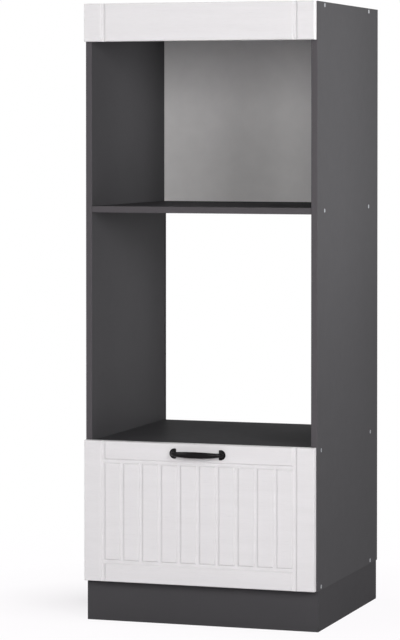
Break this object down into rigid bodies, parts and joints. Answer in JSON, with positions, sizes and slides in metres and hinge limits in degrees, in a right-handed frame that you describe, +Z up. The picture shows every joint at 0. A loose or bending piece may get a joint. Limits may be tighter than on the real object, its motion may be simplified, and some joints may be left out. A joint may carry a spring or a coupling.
{
  "type": "microwave cabinet",
  "caption": "Tall kitchen cabinet with an open niche for a microwave, an open niche for a built-in oven and a milled drawer on ball runners, standing on a plinth.",
  "frame": {"origin": "on the floor under the middle of the whole cabinet, handle included", "axes": "+Z up, the fronts and the handle face -Y, +X to the right of someone facing the front"},
  "size_m": [0.6, 0.608, 1.536],
  "materials": {
    "graphite_board": "dark grey laminated chipboard with edging of the same colour, satin",
    "white_front_film": "white film with a fine wood pore over milled fibreboard, satin",
    "hardboard": "light grey lacquered hardboard, satin",
    "black_cast": "black lacquered zinc casting, satin",
    "zinc_screw": "zinc plated",
    "runner_zinc": "zinc plated, rolled",
    "bracket_zinc": "zinc plated, pressed",
    "cage_steel": "plain pressed steel",
    "ball_steel": "polished",
    "beech_dowel": "raw beech",
    "clear_pad": "milky silicone"
  },
  "bodies": {
    "carcass": {"left_side_panel": "graphite_board", "right_side_panel": "graphite_board", "top_panel": "graphite_board", "microwave_shelf": "graphite_board", "oven_floor_panel": "graphite_board", "bottom_panel": "graphite_board", "upper_back_panel": "hardboard", "lower_back_panel": "hardboard", "plinth_front": "graphite_board", "plinth_back": "graphite_board", "plinth_left": "graphite_board", "plinth_right": "graphite_board", "plinth_brackets": "bracket_zinc", "plinth_bracket_screws": "zinc_screw", "plinth_confirmats": "zinc_screw", "carcass_confirmats_left": "zinc_screw", "carcass_confirmats_right": "zinc_screw", "carcass_dowels_left": "beech_dowel", "carcass_dowels_right": "beech_dowel", "upper_back_nails": "zinc_screw", "lower_back_nails": "zinc_screw", "top_trim": "white_front_film", "trim_brackets": "bracket_zinc", "trim_bracket_screws": "zinc_screw", "runner_outer_left": "runner_zinc", "runner_outer_right": "runner_zinc", "runner_outer_screws_left": "zinc_screw", "runner_outer_screws_right": "zinc_screw"},
    "drawer": {"drawer_front": "white_front_film", "drawer_side_left": "graphite_board", "drawer_side_right": "graphite_board", "drawer_box_front": "graphite_board", "drawer_box_back": "graphite_board", "drawer_bottom": "hardboard", "drawer_box_confirmats": "zinc_screw", "drawer_bottom_nails": "zinc_screw", "drawer_front_screws": "zinc_screw", "handle": "black_cast", "handle_screws": "zinc_screw", "front_bumpers": "clear_pad", "runner_inner_left": "runner_zinc", "runner_inner_right": "runner_zinc", "runner_inner_screws_left": "zinc_screw", "runner_inner_screws_right": "zinc_screw"},
    "left_middle": {"runner_middle_left": "runner_zinc"},
    "left_outer_cage": {"outer_cage_left": "cage_steel", "outer_balls_left": "ball_steel"},
    "left_inner_cage": {"inner_cage_left": "cage_steel", "inner_balls_left": "ball_steel"},
    "right_middle": {"runner_middle_right": "runner_zinc"},
    "right_outer_cage": {"outer_cage_right": "cage_steel", "outer_balls_right": "ball_steel"},
    "right_inner_cage": {"inner_cage_right": "cage_steel", "inner_balls_right": "ball_steel"}
  },
  "joints": [
    {"name": "drawer_slide", "type": "slide", "parent": "carcass", "child": "drawer", "axis": [0, -1, 0], "range_m": [0, 0.48]},
    {"name": "left_middle_slide", "type": "slide", "parent": "carcass", "child": "left_middle", "axis": [0, -1, 0], "range_m": [0, 0.24]},
    {"name": "left_outer_cage_slide", "type": "slide", "parent": "carcass", "child": "left_outer_cage", "axis": [0, -1, 0], "range_m": [0, 0.12]},
    {"name": "left_inner_cage_slide", "type": "slide", "parent": "carcass", "child": "left_inner_cage", "axis": [0, -1, 0], "range_m": [0, 0.36]},
    {"name": "right_middle_slide", "type": "slide", "parent": "carcass", "child": "right_middle", "axis": [0, -1, 0], "range_m": [0, 0.24]},
    {"name": "right_outer_cage_slide", "type": "slide", "parent": "carcass", "child": "right_outer_cage", "axis": [0, -1, 0], "range_m": [0, 0.12]},
    {"name": "right_inner_cage_slide", "type": "slide", "parent": "carcass", "child": "right_inner_cage", "axis": [0, -1, 0], "range_m": [0, 0.36]}
  ],
  "couplings": [
    {"joint": "left_middle_slide", "follows": "drawer_slide", "ratio": 0.5},
    {"joint": "left_outer_cage_slide", "follows": "drawer_slide", "ratio": 0.25},
    {"joint": "left_inner_cage_slide", "follows": "drawer_slide", "ratio": 0.75},
    {"joint": "right_middle_slide", "follows": "drawer_slide", "ratio": 0.5},
    {"joint": "right_outer_cage_slide", "follows": "drawer_slide", "ratio": 0.25},
    {"joint": "right_inner_cage_slide", "follows": "drawer_slide", "ratio": 0.75}
  ]
}
